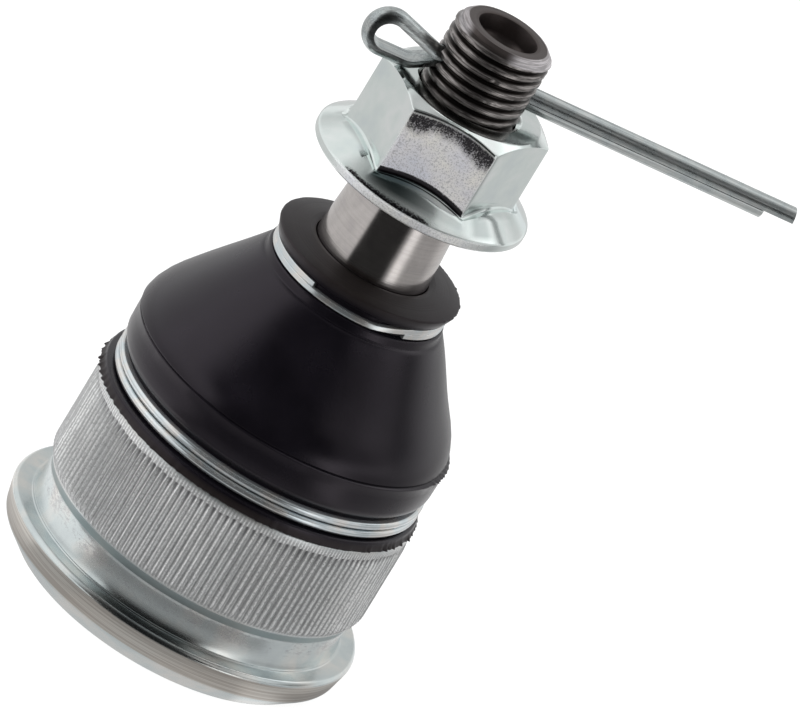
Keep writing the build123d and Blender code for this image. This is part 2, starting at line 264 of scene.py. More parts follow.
def housingZinc():
    material, shader, at = newMaterial("housing zinc", Metallic=1.0)
    s = housingShape
    x, y, z = parts(at)
    radius = fromAxis(x, y)
    band = betweenMm(z, s["teethFoot"] - 0.3, s["teethFoot"] + 0.3)
    band = band * betweenMm(z, s["teethTop"] + 0.45, s["shoulder"] - 0.05, 1, 0.35)
    rim = betweenMm(radius, s["rimFoot"] - 0.2, s["rimFoot"])
    rim = rim * betweenMm(z, s["rimFootHeight"] + 0.1, s["rimFootHeight"] + 0.3)
    rim = rim * betweenMm(z, s["rimTop"] - 0.2, s["rimTop"], 1, 0)
    grain, speckle, patch = cloud(at, 2600, 2.0, 0.6), cloud(at, 4800, 2.0, 0.75), cloud(at, 150, 3.0)
    lines = turnedLines(at, 40, 5200)
    colour = tinted(patch, (0.66, 0.71, 0.71), (0.78, 0.77, 0.74), (0.60, 0.65, 0.66))
    colour = blendColour(rim * 0.8, colour, (0.62, 0.58, 0.53))
    colour = blendColour(rim * between(lines, 0.42, 0.6, 0.5, 0), colour, (0.30, 0.26, 0.23))
    # painted highlights: each tooth is coloured with two narrow bright lines, one on its crest and one in
    # its groove, on a darker ground
    streaks = cloud(joined(x * 700, y * 700, z * 90), 1.0, 3.0)
    paintedToothLines = (y.maths("ARCTAN2", x) * (s["teeth"] * 2) + streaks * 5).maths("COSINE")
    # painted shade: the roots of the grooves are coloured darker
    low = betweenMm(radius, s["root"] + 0.04, s["crest"] - 0.12, 0.45, 0)
    # painted shadow: the tops of the grooves, where the teeth end, are coloured near black
    ends = betweenMm(z, s["teethTop"] - 2.05, s["teethTop"] + 0.05)
    ends = ends * betweenMm(z, s["teethTop"] + 0.3, s["teethTop"] + 0.45, 1, 0)
    colour = blendColour(band * 0.9, colour, (1.0, 1.0, 1.0))
    colour = blendColour(band * low, colour, (0.34, 0.345, 0.35))
    colour = blendColour(band * between(paintedToothLines, -0.3, 0.5, 0.65, 0), colour, (0.28, 0.285, 0.29))
    ends = ends * betweenMm(radius, s["root"], s["land"], 0.8, 0)
    colour = blendColour(ends, colour, (0.08, 0.08, 0.085))
    colour = blendColour(band * between(speckle, 0.38, 0.5, 0.6, 0), colour, (0.28, 0.28, 0.285))
    # the upper half of the neck has darker, duller patches, and the lead-in cone above it, which faces
    # downwards, is duller and coloured darker teal as painted shade
    cone = betweenMm(z, s["leadIn"] + 0.05, s["leadIn"] + 0.25)
    cone = cone * betweenMm(z, s["teethFoot"] - 0.4, s["teethFoot"] - 0.1, 1, 0)
    neckPatches = between(cloud(joined(x, y, z * 2.5), 1300, 4.0, 0.7) + patch * 0.5, 0.72, 0.86) * 0.5
    dullAndShaded = betweenMm(z, 8.0, 9.4) * betweenMm(z, s["leadIn"], s["leadIn"] + 0.2, 1, 0) * neckPatches + cone
    colour = blendColour(dullAndShaded * 0.75, colour, blendColour(cone, (0.34, 0.32, 0.35), (0.26, 0.32, 0.33)))
    rough = 0.16 + band * 0.2 + rim * 0.12 + grain * 0.08 + patch * 0.05 + dullAndShaded * 0.12
    height = grain * (0.04 + band * 0.7) + speckle * band * 0.65 + lines * (0.1 + rim * 0.8) * (1.0 - band)
    dress(shader, Base_Color=colour, Roughness=rough, Metallic=1.0 - band * 0.48 - dullAndShaded * 0.12,
          Normal=bumped(height, 0.5, 0.06 * mm))
    return material


def plainZinc():
    material, shader, at = newMaterial("cover zinc", Metallic=1.0)
    patch, lines = cloud(at, 300, 3.0), turnedLines(at, 60, 3000)
    colour = twoTone(patch, (0.55, 0.57, 0.56), (0.7, 0.71, 0.69))
    dress(shader, Base_Color=colour, Roughness=0.22 + patch * 0.16, Normal=bumped(lines, 0.35, 0.04 * mm))
    return material


def springSteel():
    material, shader, at = newMaterial("spring steel", Metallic=1.0)
    patch, lines = cloud(at, 500, 3.0), turnedLines(at, 90, 2500)
    colour = twoTone(patch, (0.13, 0.12, 0.12), (0.24, 0.23, 0.23))
    dress(shader, Base_Color=colour, Roughness=0.25 + patch * 0.2, Normal=bumped(lines, 0.3, 0.04 * mm))
    return material


def bearingPlastic():
    material, shader, at = newMaterial("bearing plastic", Subsurface_Weight=0.1, Subsurface_Scale=0.002)
    patch, grain = cloud(at, 350, 3.0), cloud(at, 5000, 2.0)
    colour = twoTone(patch, (0.74, 0.71, 0.62), (0.82, 0.8, 0.72))
    dress(shader, Base_Color=colour, Roughness=0.4 + patch * 0.15, Normal=bumped(grain, 0.2, 0.03 * mm))
    return material


def studSteel():
    material, shader, at = newMaterial("stud steel", Metallic=1.0)
    s, t = studShape, threadShape
    x, y, z = parts(at)
    radius = fromAxis(x, y)
    threaded = betweenMm(z, t["start"] - 0.2, t["start"])
    recess = betweenMm(radius, s["recess"] + 0.25, s["recess"] + 0.55, 1, 0) * betweenMm(z, 85.0, 89.0)
    end = betweenMm(z, s["top"] - 0.93, s["top"] - 0.23) + recess
    patch, grain = cloud(at, 420, 4.0), cloud(at, 2600, 3.0, 0.65)
    lines = turnedLines(at, 30, 6500)
    crest = betweenMm(radius, t["radius"] - 0.4, t["radius"] - 0.04)
    chamfer = betweenMm(z, s["top"] - 1.18, s["top"] - 0.98) * betweenMm(radius, 5.6, 5.75)
    # painted highlight: the top chamfer is coloured near white on the side to the camera's right and,
    # fainter, on its far left
    aside = x * math.cos(math.radians(viewAzimuth)) + y * math.sin(math.radians(viewAzimuth))
    chamferHighlight = betweenMm(aside, 1.2, 3.4) + betweenMm(aside, -5.0, -3.6, 0.6, 0)
    ground = tinted(patch, (0.62, 0.585, 0.565), (0.67, 0.63, 0.61), (0.58, 0.545, 0.535))
    ground = blendColour(between(lines, 0.35, 0.6, 0.16, 0), ground, (0.36, 0.33, 0.32))
    # painted shade: the thread's roots are coloured near black; its crests are lighter, worn bright in
    # patches
    worn = between(cloud(joined(x * 300, y * 300, z * 6500), 1.0, 3.0, 0.6), 0.4, 0.62, 0.25, 1)
    rolled = blendColour(crest * worn, (0.035, 0.029, 0.027), (0.42, 0.39, 0.378))
    colour = blendColour(threaded, ground, rolled)
    # the end face and the recess in it are coloured dark brown; in the recess this is painted shade
    colour = blendColour(end.maths("MINIMUM", 1.0), colour, (0.11, 0.092, 0.088))
    # painted highlight on the chamfer
    colour = blendColour(chamfer * chamferHighlight * (0.35 + worn * 0.6), colour, (0.8, 0.76, 0.78))
    rough = 0.13 + threaded * 0.14 + patch * 0.05 + end * 0.12 + chamfer * 0.1
    metal = 1.0 - chamfer * chamferHighlight * 0.3 - threaded * (0.06 + crest * 0.06)
    height = lines * 0.35 + grain * (0.05 + threaded * 0.8)
    dress(shader, Base_Color=colour, Roughness=rough, Metallic=metal, Normal=bumped(height, 0.4, 0.04 * mm))
    return material


def bootRubber():
    material, shader, at = newMaterial("boot rubber", Specular_IOR_Level=0.42,
                                       Specular_Tint=(1.0, 0.88, 1.0, 1.0))
    s = bootShape
    x, y, z = parts(at)
    patch, grain, dust = cloud(at, 130, 4.0), cloud(at, 4200, 2.0), cloud(at, 1500, 5.0, 0.75)
    lip = betweenMm(z, s["lipEdge"] - 1.7, s["lipEdge"] - 0.2)
    lip = lip + betweenMm(z, s["grooveFoot"] - 0.8, s["grooveFoot"] - 0.2, 1, 0)
    rings = cloud(joined(fromAxis(x, y), 0.0, 0.0), 2600, 2.0)
    colour = twoTone(patch, (0.0035, 0.0030, 0.0045), (0.0068, 0.0058, 0.0085), low=0.35)
    colour = blendColour(lip * (0.6 + patch * 0.5), colour, (0.0115, 0.009, 0.0075))
    colour = blendColour(between(dust, 0.66, 0.8) * 0.35, colour, (0.05, 0.047, 0.05))
    rough = 0.2 + patch * 0.12 + lip * 0.2
    height = grain * 0.7 + patch * 1.6 + rings * lip * 2.2
    dress(shader, Base_Color=colour, Roughness=rough, Normal=bumped(height, 0.22, 0.06 * mm))
    return material


def ringWire():
    material, shader, at = newMaterial("ring wire", Metallic=0.88)
    patch, lines = cloud(at, 300, 3.0), turnedLines(at, 40, 4500)
    colour = tinted(patch, (0.74, 0.79, 0.81), (0.84, 0.81, 0.78), (0.68, 0.74, 0.77))
    dress(shader, Base_Color=colour, Roughness=0.17 + patch * 0.08, Normal=bumped(lines, 0.3, 0.03 * mm))
    return material


def nutZinc():
    material, shader, at = newMaterial("nut zinc", Metallic=1.0)
    x, y, z = parts(at)
    patch, grain = cloud(at, 170, 3.0), cloud(at, 4800, 3.0, 0.7)
    streak = cloud(joined(x * 4200, y * 4200, z * 800), 1.0)
    sheared, dark, shaded = (at.node("Attribute", {"attribute_name": name}, out="Fac")
                             for name in ("sheared", "dark", "shaded"))
    colour = tinted(patch, (0.76, 0.82, 0.80), (0.84, 0.87, 0.86), (0.71, 0.77, 0.77))
    pitted = tinted(patch, (0.80, 0.79, 0.82), (0.87, 0.85, 0.81), (0.74, 0.75, 0.81))
    pitted = blendColour(between(grain, 0.36, 0.52, 0.7, 0), pitted, (0.34, 0.33, 0.35))
    colour = blendColour(sheared, colour, pitted)
    # painted shade and reflection from the shaded attribute, on the cone in front of the front flat
    colour = blendColour(shaded, colour, (0.09, 0.12, 0.12))
    # dark holds the darker shear zone of the front flat, and painted shade: a shadow at the foot of that
    # flat, the crease in front of it and a stripe at the top of the rim
    speckled = dark + ((streak - 0.5) * 0.7 + (grain - 0.5) * 2.4) * dark
    colour = blendColour(between(speckled, 0.3, 0.75), colour, (0.02, 0.018, 0.021))
    rough = 0.1 + patch * 0.07 + sheared * 0.38 + dark * 0.15
    height = grain * (0.08 + sheared * 0.9 + dark * 0.8) + patch * 0.5
    dress(shader, Base_Color=colour, Roughness=rough, Metallic=1.0 - sheared * 0.8,
          Normal=bumped(height, 0.35, 0.06 * mm))
    return material


def pinZinc():
    material, shader, at = newMaterial("pin zinc", Metallic=1.0)
    x, y, z = parts(at)
    patch = cloud(at, 420, 4.0)
    drawn = cloud(joined(x * 60, y * 4500, z * 4500), 1.0, 2.0)
    colour = tinted(patch, (0.50, 0.54, 0.54), (0.60, 0.62, 0.61), (0.44, 0.47, 0.48))
    colour = blendColour(between(drawn, 0.4, 0.56, 0.45, 0), colour, (0.2, 0.21, 0.22))
    rough = 0.22 + patch * 0.12
    dress(shader, Base_Color=colour, Roughness=rough, Normal=bumped(drawn + patch, 0.3, 0.04 * mm))
    return material


# Housing: turned body with a flange, a relieved neck and a serrated band

housingShape = {
    "flangeFoot": 21.4, "rimFoot": 24.5, "rimFootHeight": 2.8, "flange": 25.2, "rimTop": 5.9,
    "flangeTop": 6.5, "neck": 22.1, "waist": 22.05, "flareHeight": 2.2, "step": 0.16, "leadIn": 10.7,
    "root": 22.66, "crest": 23.1, "land": 22.9, "teethFoot": 12.3, "teethTop": 24.95, "shoulder": 26.35,
    "bootSeat": 20.3, "top": 30.35, "mouthTop": 13.0, "mouthFoot": 11.3, "bearingTop": 26.68,
    "bearingShoulder": 12.5, "bore": 16.23, "boreTop": 22.43, "coverSeat": 3.2, "coverPocket": 18.16,
    "rolled": 1.0, "rolledLip": 16.33,
    "teeth": 146, "stepsPerTooth": 6, "grooveFill": 1.25, "grooveSlope": 2.9, "grooveDrift": 0.05,
    "endWobble": 0.3, "endFade": 0.22, "crestFade": 1.6, "crestWobble": 0.03,
}


def makeHousing(material):
    s = housingShape
    corners = [
        (s["rolledLip"], 0.0, 0.3), (s["flangeFoot"], 0.0, 0.7), (s["rimFoot"], s["rimFootHeight"], 0.25),
        (s["flange"], s["rimTop"], 0.25), (s["flange"] - 0.5, s["flangeTop"], 0.2),
        (s["neck"] + 0.62, s["flangeTop"], 0.05), (s["neck"] + 0.54, s["flangeTop"] + s["step"], 0.06),
        (s["neck"] + 0.34, s["flangeTop"] + s["step"], 0.04), (s["neck"] + 0.2, s["flangeTop"] + 0.6, 0.3),
        (s["waist"], s["flangeTop"] + s["flareHeight"], 0.9), (s["waist"], s["leadIn"], 0.3),
        (s["root"], s["teethFoot"] - 0.1, 0.1), (s["root"], s["teethTop"] - 0.35, 0),
        (s["root"], s["teethTop"] + 0.45, 0), (s["land"], s["teethTop"] + 0.55, 0),
        (s["land"], s["shoulder"], 0.15), (s["bootSeat"], s["shoulder"], 0.2),
        (s["bootSeat"], s["top"], 0.3), (s["mouthTop"], s["top"], 0.2),
        (s["mouthFoot"], s["bearingTop"], 0.1), (s["bearingShoulder"], s["bearingTop"], 0),
        (s["bore"], s["boreTop"], 0), (s["bore"], s["coverSeat"], 0), (s["coverPocket"], s["coverSeat"], 0),
        (s["coverPocket"], s["rolled"], 0), (s["rolledLip"], s["rolled"], 0.2),
    ]

    def spacing(radius, height):
        if radius > s["root"] - 0.05 and s["teethFoot"] < height < s["teethTop"] + 0.5:
            return 0.16 if height > s["teethTop"] - 0.3 else 0.8
        return 5.0

    bm = bmesh.new()
    wireProfile(bm, corners, spacing)
    turn(bm, s["teeth"] * s["stepsPerTooth"], doublings=2)
    pitch = 2 * math.pi / s["teeth"]
    for vert in bm.verts:
        radius, angle, height = polar(vert)
        if radius < s["root"] - 0.02 or height < s["teethFoot"] or height > s["shoulder"] - 0.3:
            continue
        # the grooves are straight, but no two are as deep or as long
        tooth = math.floor(angle / pitch)
        drift = s["grooveDrift"] * wobble(height * 0.25, angle * 9)
        phase = (angle / pitch + drift) % 1
        groove = clamp(s["grooveFill"] - s["grooveSlope"] * abs(phase - 0.5))
        groove *= 0.86 + 0.2 * wobble(tooth * 3.7, height * 0.2)
        end = s["teethTop"] + s["endWobble"] * wobble(tooth * 5.1, 7.0) + 0.2
        fade = 1 - smooth(end - s["endFade"], end, height)
        crest = s["land"] + (s["crest"] - s["land"]) * (1 - smooth(end - s["crestFade"], end, height))
        crest += s["crestWobble"] * wobble(tooth * 2.3, height * 0.9)
        place(vert, crest - groove * fade * (crest - s["root"]) * 1.15, angle, height)
    return newPiece(bm, "housingBody", material, "housing", ["housing"], sharp=45)


# Boot: hollow cone of rubber with a clamped foot and a flared lip

bootShape = {
    "footInside": 20.4, "foot": 22.95, "footHeight": 26.45, "grooveFoot": 27.8, "groove": 21.4,
    "grooveTop": 30.7, "widest": 22.6, "bulge": 31.7, "seam": 36.3, "bend": 38.05, "bendRound": 2.8,
    "shoulder": 12.9, "coneTop": 51.2, "collar": 11.6, "collarFoot": 52.6, "collarTop": 54.37,
    "lip": 13.2, "lipEdge": 56.2, "lipCrown": 57.1, "lipInside": 8.22, "roofInside": 8.64, "roof": 50.4,
    "roofEdge": 12.0, "wall": 1.8, "seamRidge": 0.08, "seamGroove": 0.22, "steps": 384,
    "flash": 0.75, "lipFlash": 0.6, "seamFlash": 0.3, "flashAt": 85.0, "sag": 0.1,
    "lean": 0.38, "leanBelow": 0.12, "leanInside": 0.25,
}


def makeBoot(material):
    s = bootShape
    inside = s["widest"] - s["wall"]
    corners = [
        (s["footInside"], s["grooveTop"], 0), (s["footInside"], s["footHeight"], 0.1),
        (s["foot"], s["footHeight"], 0.12), (s["foot"] - 0.05, s["grooveFoot"], 0.2),
        (s["groove"], s["grooveFoot"], 0.2), (s["groove"], s["grooveTop"], 0.3),
        (s["widest"] - 0.1, s["bulge"], 0.7), (s["widest"], s["seam"] - 0.45, 0),
        (s["widest"] + s["seamRidge"], s["seam"] - 0.14, 0.08),
        (s["widest"] - s["seamGroove"], s["seam"], 0.06),
        (s["widest"] - 0.02, s["seam"] + 0.2, 0.06), (s["widest"] - 0.12, s["bend"], s["bendRound"]),
        (s["shoulder"] + 0.4, s["coneTop"], 0.3), (s["shoulder"] - 0.1, s["coneTop"] + 0.25, 0.15),
        (s["shoulder"] - 0.15, s["collarFoot"] - 0.05, 0.2),
        (s["collar"] + 0.1, s["collarFoot"] + 0.05, 0.05),
        (s["collar"], s["collarTop"], 0.05), (s["lip"] - 0.72, s["collarTop"], 0.08),
        (s["lip"], s["lipEdge"], 0.3), (s["lipInside"] + 0.6, s["lipCrown"] - 0.1, 0.5),
        (s["lipInside"], s["lipCrown"] - 0.4, 0.1), (s["roofInside"], s["roof"], 0.2),
        (s["roofEdge"], s["roof"], 0.6), (inside, s["bend"] - 0.6, 2.5),
        (inside, s["grooveTop"] + s["wall"], 0.4),
    ]

    def spacing(radius, height):
        return 0.8 if radius > s["foot"] - 0.4 and height < s["grooveFoot"] else 1.6

    bm = bmesh.new()
    wireProfile(bm, corners, spacing)
    turn(bm, s["steps"])
    lean = Vector((-math.cos(math.radians(viewAzimuth)), -math.sin(math.radians(viewAzimuth)), 0)) * mm
    for vert in bm.verts:
        radius, angle, height = polar(vert)
        off = offFront(angle)
        # torn flash along the lower edge of the foot and the edge of the lip
        foot = smooth(s["foot"] - 0.5, s["foot"], radius)
        foot *= smooth(s["footHeight"] + 1.0, s["footHeight"], height)
        if foot:
            torn = clamp(0.45 + 0.7 * wobble(angle * 34, 2.0) + 0.6 * wobble(angle * 90, 5.0))
            radius += foot * s["flash"] * torn * (0.25 + 0.75 * smooth(40, 80, abs(off)))
            height -= foot * 0.15 * torn
        edge = smooth(s["lip"] - 0.3, s["lip"], radius) * smooth(s["collarTop"] + 0.5, s["lipEdge"], height)
        if edge and s["collarTop"] < height < s["lipEdge"] + 0.5:
            torn = clamp(wobble(angle * 26, 4.0) + 0.5 * wobble(angle * 70, 8.0)) * smooth(55, 90, off)
            radius += edge * (0.08 * wobble(angle * 8, 1.0) + s["lipFlash"] * torn)
        # mould flash hangs from the seam, most of all at the right-hand side
        seam = smooth(0.4, 0.1, abs(height - s["seam"] + 0.14))
        seam *= smooth(s["widest"] - 0.5, s["widest"], radius)
        if seam:
            torn = clamp(0.3 + wobble(angle * 60, 3.0))
            hanging = 0.1 * smooth(0.1, 0.5, wobble(angle * 9, 9.0))
            hanging += s["seamFlash"] * smooth(22, 8, abs(off - s["flashAt"]))
            radius += seam * torn * hanging
        # the mould's two halves don't quite meet, and the cone sags inwards at its widest
        above = smooth(s["seam"] - 0.05, s["seam"] + 0.1, height)
        above *= smooth(s["coneTop"] - 1, s["coneTop"] - 9, height)
        if radius > 9:
            radius -= s["sag"] * above
        place(vert, radius, angle, height)
        if radius > 9 and height > s["grooveFoot"]:
            below = smooth(s["grooveTop"], s["bulge"] + 1, height) * (1 - above)
            below *= smooth(s["coneTop"] - 5, s["seam"], height)
            vert.co += lean * (s["lean"] * above + s["leanBelow"] * below)
        elif radius > s["groove"]:
            vert.co += lean * s["leanInside"]
    piece = newPiece(bm, "dustBoot", material, None, ["boot"], sharp=50)
    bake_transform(piece)
    return piece


# Rings: turns of bright flat wire in the boot's two grooves

lowerRing = {"inside": 21.07, "width": 1.3, "height": 1.12, "foot": 28.04, "round": 0.48, "start": 60.0,
             "runs": [(322.0, 0), (38.0, 1.3), (345.0, 0)], "stepsPerTurn": 180}
upperRing = {"inside": 11.65, "width": 0.85, "height": 0.79, "foot": 52.76, "round": 0.12, "start": -64.0,
             "runs": [(338.0, 0), (26.0, 0.8), (290.0, 0)], "stepsPerTurn": 160}


def makeRing(shape, name, material, body, node):
    # two turns lie flat, one on the other, and the wire steps up from the first to the second
    s = shape
    bm = bmesh.new()
    outside, top = s["inside"] + s["width"], s["foot"] + s["height"]
    wireProfile(bm, [(s["inside"], s["foot"], s["round"]), (outside, s["foot"], s["round"]),
                     (outside, top, s["round"]), (s["inside"], top, s["round"])])
    bmesh.ops.rotate(bm, verts=bm.verts[:], cent=(0, 0, 0),
                     matrix=Matrix.Rotation(math.radians(s["start"]), 3, "Z"))
    wind(bm, s["runs"], s["stepsPerTurn"])
    bmesh.ops.holes_fill(bm, edges=[e for e in bm.edges if e.is_boundary])
    return newPiece(bm, name, material, body, [node], sharp=60)


# Ball stud: ball, neck and ground taper, with a rolled thread

studShape = {
    "ballCentre": 19.43, "ball": 13.0, "ballFlat": 4.0, "neck": 6.25, "neckTop": 43.93,
    "taperFoot": 49.93, "taperBig": 8.551, "taperTop": 68.83, "taperSmall": 7.37, "core": 6.05,
    "top": 92.93, "chamfer": 1.1, "recess": 4.25, "recessDepth": 3.6, "steps": 192, "ballSteps": 24,
}
threadShape = {"radius": 6.9, "depth": 0.62, "pitch": 1.5, "crest": 0.48, "rootFlat": 0.12,
               "stepsPerTurn": 144, "start": 68.9, "runOut": 0.9, "chip": 0.12, "sink": 5.45}
pinHole = {"radius": 1.7, "height": 85.93, "length": 24.0, "segments": 64}


def makeStud(material):
    s = studShape
    bm = bmesh.new()
    low = math.sqrt(s["ball"] ** 2 - s["ballFlat"] ** 2)
    high = math.sqrt(s["ball"] ** 2 - s["neck"] ** 2)
    first, last = math.atan2(-low, s["ballFlat"]), math.atan2(high, s["neck"])
    sweptArc = (first + (last - first) * k / s["ballSteps"] for k in range(s["ballSteps"] + 1))
    arc = [(s["ball"] * math.cos(a), s["ballCentre"] + s["ball"] * math.sin(a), 0) for a in sweptArc]
    end, floor = s["top"] - 0.02, s["top"] - s["recessDepth"]
    corners = [(0, s["ballCentre"] - low, 0)] + arc + [
        (s["neck"], s["neckTop"], 1.5), (s["taperBig"], s["taperFoot"], 0.3),
        (s["taperSmall"], s["taperTop"], 0.15), (s["core"], s["taperTop"] + 0.2, 0),
        (s["core"], s["top"] - 1.0, 0), (s["core"] - 0.35, end, 0.05), (s["recess"], end, 0.12),
        (s["recess"] - 0.1, floor + 1.0, 0.4), (s["recess"] * 0.7, floor, 0.5), (0, floor, 0),
    ]
    wireProfile(bm, corners, lambda radius, height: 3.0, closed=False)
    turn(bm, s["steps"])
    bmesh.ops.remove_doubles(bm, verts=bm.verts[:], dist=0.001 * mm)
    return newPiece(bm, "taperStud", material, "stud", ["ball_stud"], sharp=40)


def makeThread(material):
    # one pitch of the thread's outline climbs round the core, and each turn joins the next
    s, t = studShape, threadShape
    flank = (t["pitch"] - t["crest"] - t["rootFlat"]) / 2
    root = t["radius"] - t["depth"]
    turns = math.ceil((s["top"] - t["start"]) / t["pitch"]) + 2
    foot = t["start"] - t["pitch"]
    crestFoot = foot + t["rootFlat"] + flank
    bm = bmesh.new()
    wireProfile(bm, [(root, foot, 0), (root, foot + t["rootFlat"], 0.02), (t["radius"], crestFoot, 0.03),
                     (t["radius"], crestFoot + t["crest"], 0.03), (root, foot + t["pitch"], 0)],
                lambda radius, height: 0.35, closed=False)
    wind(bm, [(360.0, t["pitch"])], t["stepsPerTurn"])
    lap = bm.verts[:] + bm.edges[:] + bm.faces[:]
    for above in range(1, turns):
        copied = bmesh.ops.duplicate(bm, geom=lap)["geom"]
        bmesh.ops.translate(bm, verts=[g for g in copied if isinstance(g, bmesh.types.BMVert)],
                            vec=(0, 0, above * t["pitch"] * mm))
    bmesh.ops.remove_doubles(bm, verts=bm.verts[:], dist=0.01 * mm)
    ends = (t["start"], s["top"] - 0.01)
    for height, side in zip(ends, (-1, 1)):
        bmesh.ops.bisect_plane(bm, geom=bm.verts[:] + bm.edges[:] + bm.faces[:], dist=0.0001 * mm,
                               plane_co=(0, 0, height * mm), plane_no=(0, 0, side), clear_outer=True)
    for vert in bm.verts:
        radius, angle, height = polar(vert)
        cone = t["radius"] - s["chamfer"] + (s["top"] - height) * 1.05
        run = 6.4 + (height - t["start"]) * t["runOut"]  # the thread runs out towards the taper
        chip = t["chip"] * smooth(0.15, 0.45, wobble(angle * 7, height * 1.3))
        chip += 0.02 * wobble(angle * 15, height * 3)
        radius -= chip * smooth(root + 0.3, t["radius"], radius)
        place(vert, min(radius, cone, max(run, root)), angle, height)
    # both ends turn inwards, and their rims are joined inside the stud's core
    for height in ends:
        loop = [e for e in bm.edges if e.is_boundary and abs(e.verts[0].co.z / mm - height) < 0.05]
        inner = bmesh.ops.extrude_edge_only(bm, edges=loop)["geom"]
        for vert in (g for g in inner if isinstance(g, bmesh.types.BMVert)):
            _, angle, level = polar(vert)
            place(vert, t["sink"], angle, level)
    bmesh.ops.bridge_loops(bm, edges=[e for e in bm.edges if e.is_boundary])
    bmesh.ops.remove_doubles(bm, verts=bm.verts[:], dist=0.002 * mm)
    return newPiece(bm, "studThread", material, "stud", sharp=28)


def drillPinHole(pieces):
    s = pinHole
    cutter = bmesh.new()
    along = Matrix.Translation((0, 0, s["height"] * mm)) @ Matrix.Rotation(math.pi / 2, 4, "Y")
    bmesh.ops.create_cone(cutter, cap_ends=True, segments=s["segments"], radius1=s["radius"] * mm,
                          radius2=s["radius"] * mm, depth=s["length"] * mm, matrix=along)
    mesh = bpy.data.meshes.new("pinHoleTool")
    cutter.to_mesh(mesh)
    cutter.free()
    tool = bpy.data.objects.new("pinHoleTool", mesh)
    bpy.context.collection.objects.link(tool)
    for piece in pieces:
        drill = piece.modifiers.new("crossHole", "BOOLEAN")
        drill.object, drill.operation, drill.solver = tool, "DIFFERENCE", "EXACT"
        graph = bpy.context.evaluated_depsgraph_get()
        drilled = bpy.data.meshes.new_from_object(piece.evaluated_get(graph))
        piece.modifiers.clear()
        piece.data = drilled
    bpy.data.objects.remove(tool)
    bpy.data.meshes.remove(mesh)
    print("cross hole drilled")


# Flange nut: a hexagon that grows out of a coned flange

nutShape = {
    "foot": 69.03, "height": 13.7, "flats": 10.68, "cornerLimit": 12.2, "cornerSoft": 0.06,
    "flange": 15.3, "rim": 1.4, "coneAngle": 35.0, "chamfer": 10.3, "chamferAngle": 30.0, "bore": 7.03,
    "boreChamfer": 0.6, "turned": -13.7, "steps": 720, "footGroove": 0.28,
    "shearFrom": 1.7, "shearDepth": 0.06, "footShadow": 0.42,
}


